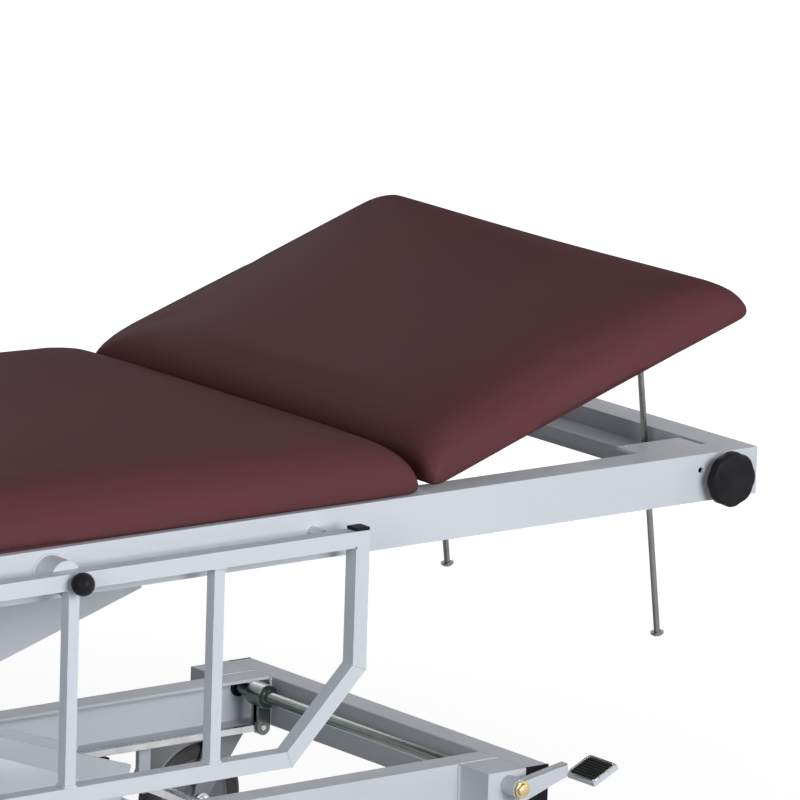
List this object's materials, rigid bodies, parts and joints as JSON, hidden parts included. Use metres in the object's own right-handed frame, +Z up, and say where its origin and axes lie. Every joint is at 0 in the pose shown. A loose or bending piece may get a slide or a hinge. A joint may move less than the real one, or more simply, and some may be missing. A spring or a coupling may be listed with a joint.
{
  "type": "patient transport stretcher",
  "caption": "Hospital stretcher with padded seat and raised backrest, swing-down side guards, scissor lift and a castor base with central brake.",
  "frame": {"origin": "floor level under the middle of the deck", "axes": "+X towards the head end, +Y towards the far side from the viewer, +Z up"},
  "size_m": [2.15, 0.8866, 0.8339],
  "materials": {
    "paint": "satin",
    "dark_paint": "satin",
    "plated_steel": "bright plated",
    "castor_grey": "satin",
    "grey_plastic": "matte",
    "black_plastic": "satin",
    "rubber": "matte",
    "tyre": "matte",
    "plywood": "plain",
    "vinyl": "satin"
  },
  "bodies": {
    "base": {"base_side_near": "paint", "base_side_far": "paint", "base_end_tubes": "paint", "castor_blocks": "paint", "base_tube_plugs": "black_plastic", "brake_bushes": "black_plastic", "lower_arm_shaft": "plated_steel", "pump_carrier": "paint", "pump_unit": "dark_paint", "lift_covers": "paint"},
    "castor_head_near": {"castor_fork_head_near": "castor_grey"},
    "wheel_head_near": {"castor_tyre_head_near": "tyre", "castor_hub_head_near": "grey_plastic"},
    "castor_head_far": {"castor_fork_head_far": "castor_grey"},
    "wheel_head_far": {"castor_tyre_head_far": "tyre", "castor_hub_head_far": "grey_plastic"},
    "castor_foot_near": {"castor_fork_foot_near": "castor_grey"},
    "wheel_foot_near": {"castor_tyre_foot_near": "tyre", "castor_hub_foot_near": "grey_plastic"},
    "castor_foot_far": {"castor_fork_foot_far": "castor_grey"},
    "wheel_foot_far": {"castor_tyre_foot_far": "tyre", "castor_hub_foot_far": "grey_plastic"},
    "brake_head": {"brake_shaft_head": "plated_steel", "brake_pedal": "paint", "brake_pedal_pad": "rubber"},
    "brake_foot": {"brake_shaft_foot": "plated_steel"},
    "brake_link": {"brake_link": "plated_steel"},
    "pump_pedal": {"pump_pedal": "plated_steel", "pump_pedal_pads": "rubber"},
    "pump_link": {"pump_link": "plated_steel"},
    "lower_arms": {"lower_arm_plates": "paint", "lower_arm_tubes": "plated_steel"},
    "deck_rollers": {"deck_rollers": "black_plastic"},
    "upper_arms": {"upper_arm_plates": "paint", "upper_arm_tubes": "plated_steel"},
    "base_rollers": {"base_rollers": "black_plastic"},
    "ram_barrel": {"ram_barrel": "dark_paint"},
    "ram_rod": {"ram_rod": "plated_steel"},
    "deck": {"deck_rail_near": "paint", "deck_rail_far": "paint", "deck_cross_tubes": "paint", "upper_arm_shaft": "plated_steel", "rod_guide": "paint", "guard_studs": "plated_steel", "seat_board": "plywood", "seat_pad": "vinyl", "hinge_leaves": "plated_steel"},
    "guard_near": {"guard_near": "paint", "guard_caps_near": "black_plastic"},
    "plunger_near": {"guard_plunger_near": "black_plastic"},
    "knob_near": {"clamp_knob_near": "black_plastic"},
    "guard_far": {"guard_far": "paint", "guard_caps_far": "black_plastic"},
    "plunger_far": {"guard_plunger_far": "black_plastic"},
    "knob_far": {"clamp_knob_far": "black_plastic"},
    "backrest": {"backrest_board": "plywood", "backrest_pad": "vinyl", "backrest_leaves": "plated_steel", "rod_brackets": "plated_steel"},
    "rods": {"support_rods": "plated_steel"}
  },
  "joints": [
    {"name": "castor_head_near_swivel", "type": "hinge", "parent": "base", "child": "castor_head_near", "pos_m": [0.7345, -0.281, 0.19], "axis": [0, 0, 1], "continuous": true},
    {"name": "wheel_head_near_spin", "type": "hinge", "parent": "castor_head_near", "child": "wheel_head_near", "pos_m": [0.6855, -0.281, 0.075], "axis": [0, 1, 0], "continuous": true},
    {"name": "castor_head_far_swivel", "type": "hinge", "parent": "base", "child": "castor_head_far", "pos_m": [0.7345, 0.281, 0.19], "axis": [0, 0, 1], "continuous": true},
    {"name": "wheel_head_far_spin", "type": "hinge", "parent": "castor_head_far", "child": "wheel_head_far", "pos_m": [0.6855, 0.281, 0.075], "axis": [0, 1, 0], "continuous": true},
    {"name": "castor_foot_near_swivel", "type": "hinge", "parent": "base", "child": "castor_foot_near", "pos_m": [-0.7345, -0.281, 0.19], "axis": [0, 0, 1], "continuous": true},
    {"name": "wheel_foot_near_spin", "type": "hinge", "parent": "castor_foot_near", "child": "wheel_foot_near", "pos_m": [-0.7835, -0.281, 0.075], "axis": [0, 1, 0], "continuous": true},
    {"name": "castor_foot_far_swivel", "type": "hinge", "parent": "base", "child": "castor_foot_far", "pos_m": [-0.7345, 0.281, 0.19], "axis": [0, 0, 1], "continuous": true},
    {"name": "wheel_foot_far_spin", "type": "hinge", "parent": "castor_foot_far", "child": "wheel_foot_far", "pos_m": [-0.7835, 0.281, 0.075], "axis": [0, 1, 0], "continuous": true},
    {"name": "brake_turn", "type": "hinge", "parent": "base", "child": "brake_head", "pos_m": [0.736, 0, 0.222], "axis": [0, 1, 0], "range_deg": [0, 24]},
    {"name": "brake_link_turn", "type": "hinge", "parent": "brake_head", "child": "brake_link", "pos_m": [0.736, 0.1985, 0.18], "axis": [0, 1, 0], "range_deg": [-24.05, 0.05]},
    {"name": "brake_foot_turn", "type": "hinge", "parent": "base", "child": "brake_foot", "pos_m": [-0.736, 0, 0.222], "axis": [0, 1, 0], "range_deg": [-0.05, 24.05]},
    {"name": "pump_pedal_turn", "type": "hinge", "parent": "base", "child": "pump_pedal", "pos_m": [0.574, 0, 0.12], "axis": [0, 1, 0], "range_deg": [-20, 0], "stiffness_Nm_per_rad": 25, "springref_deg": 20.05},
    {"name": "pump_link_slide", "type": "slide", "parent": "base", "child": "pump_link", "axis": [1, 0, 0], "range_m": [-0.0106, 0.0001]},
    {"name": "lift", "type": "hinge", "parent": "base", "child": "lower_arms", "pos_m": [0.303, 0, 0.2043], "axis": [0, 1, 0], "range_deg": [-7.6, 13.2]},
    {"name": "upper_arms_turn", "type": "hinge", "parent": "lower_arms", "child": "upper_arms", "pos_m": [-0.17386, 0, 0.35465], "axis": [0, 1, 0], "range_deg": [-26.45, 15.25]},
    {"name": "deck_level", "type": "hinge", "parent": "upper_arms", "child": "deck", "pos_m": [0.303, 0, 0.50501], "axis": [0, 1, 0], "range_deg": [-7.65, 13.25]},
    {"name": "deck_rollers_spin", "type": "hinge", "parent": "lower_arms", "child": "deck_rollers", "pos_m": [-0.65072, 0, 0.50501], "axis": [0, 1, 0], "continuous": true},
    {"name": "base_rollers_spin", "type": "hinge", "parent": "upper_arms", "child": "base_rollers", "pos_m": [-0.65072, 0, 0.2043], "axis": [0, 1, 0], "continuous": true},
    {"name": "ram_turn", "type": "hinge", "parent": "base", "child": "ram_barrel", "pos_m": [-0.4, 0, 0.19], "axis": [0, 1, 0], "range_deg": [-4.99, 2.89]},
    {"name": "ram_slide", "type": "slide", "parent": "ram_barrel", "child": "ram_rod", "axis": [0.9711, 0, 0.2385], "range_m": [-0.02194, 0.03796]},
    {"name": "backrest_turn", "type": "hinge", "parent": "deck", "child": "backrest", "pos_m": [0.558, 0, 0.627], "axis": [0, -1, 0], "range_deg": [-18.4, 25]},
    {"name": "rods_turn", "type": "hinge", "parent": "backrest", "child": "rods", "pos_m": [0.99479, 0, 0.75544], "axis": [0, -1, 0], "range_deg": [-13.9, 10.24]},
    {"name": "guard_near_turn", "type": "hinge", "parent": "deck", "child": "guard_near", "pos_m": [0, -0.405, 0.593], "axis": [0, 1, 0], "range_deg": [0, 180]},
    {"name": "plunger_near_slide", "type": "slide", "parent": "guard_near", "child": "plunger_near", "axis": [0, -1, 0], "range_m": [0, 0.009], "stiffness_N_per_m": 400, "springref_m": -0.01},
    {"name": "knob_near_turn", "type": "hinge", "parent": "deck", "child": "knob_near", "pos_m": [1.017, -0.375, 0.589], "axis": [0, 1, 0], "continuous": true},
    {"name": "guard_far_turn", "type": "hinge", "parent": "deck", "child": "guard_far", "pos_m": [0, 0.405, 0.593], "axis": [0, 1, 0], "range_deg": [0, 180]},
    {"name": "plunger_far_slide", "type": "slide", "parent": "guard_far", "child": "plunger_far", "axis": [0, 1, 0], "range_m": [0, 0.009], "stiffness_N_per_m": 400, "springref_m": -0.01},
    {"name": "knob_far_turn", "type": "hinge", "parent": "deck", "child": "knob_far", "pos_m": [1.017, 0.375, 0.589], "axis": [0, 1, 0], "continuous": true}
  ],
  "couplings": [
    {"joint": "brake_link_turn", "follows": "brake_turn", "ratio": -1},
    {"joint": "brake_foot_turn", "follows": "brake_turn", "ratio": 1},
    {"joint": "pump_link_slide", "follows": "pump_pedal_turn", "m_per_rad": 0.03},
    {"joint": "upper_arms_turn", "follows": "lift", "ratio": -2},
    {"joint": "deck_level", "follows": "lift", "ratio": 1},
    {"joint": "ram_turn", "follows": "lift", "ratio": -0.374},
    {"joint": "ram_slide", "follows": "lift", "m_per_rad": 0.1639},
    {"joint": "rods_turn", "follows": "backrest_turn", "ratio": -0.554}
  ]
}
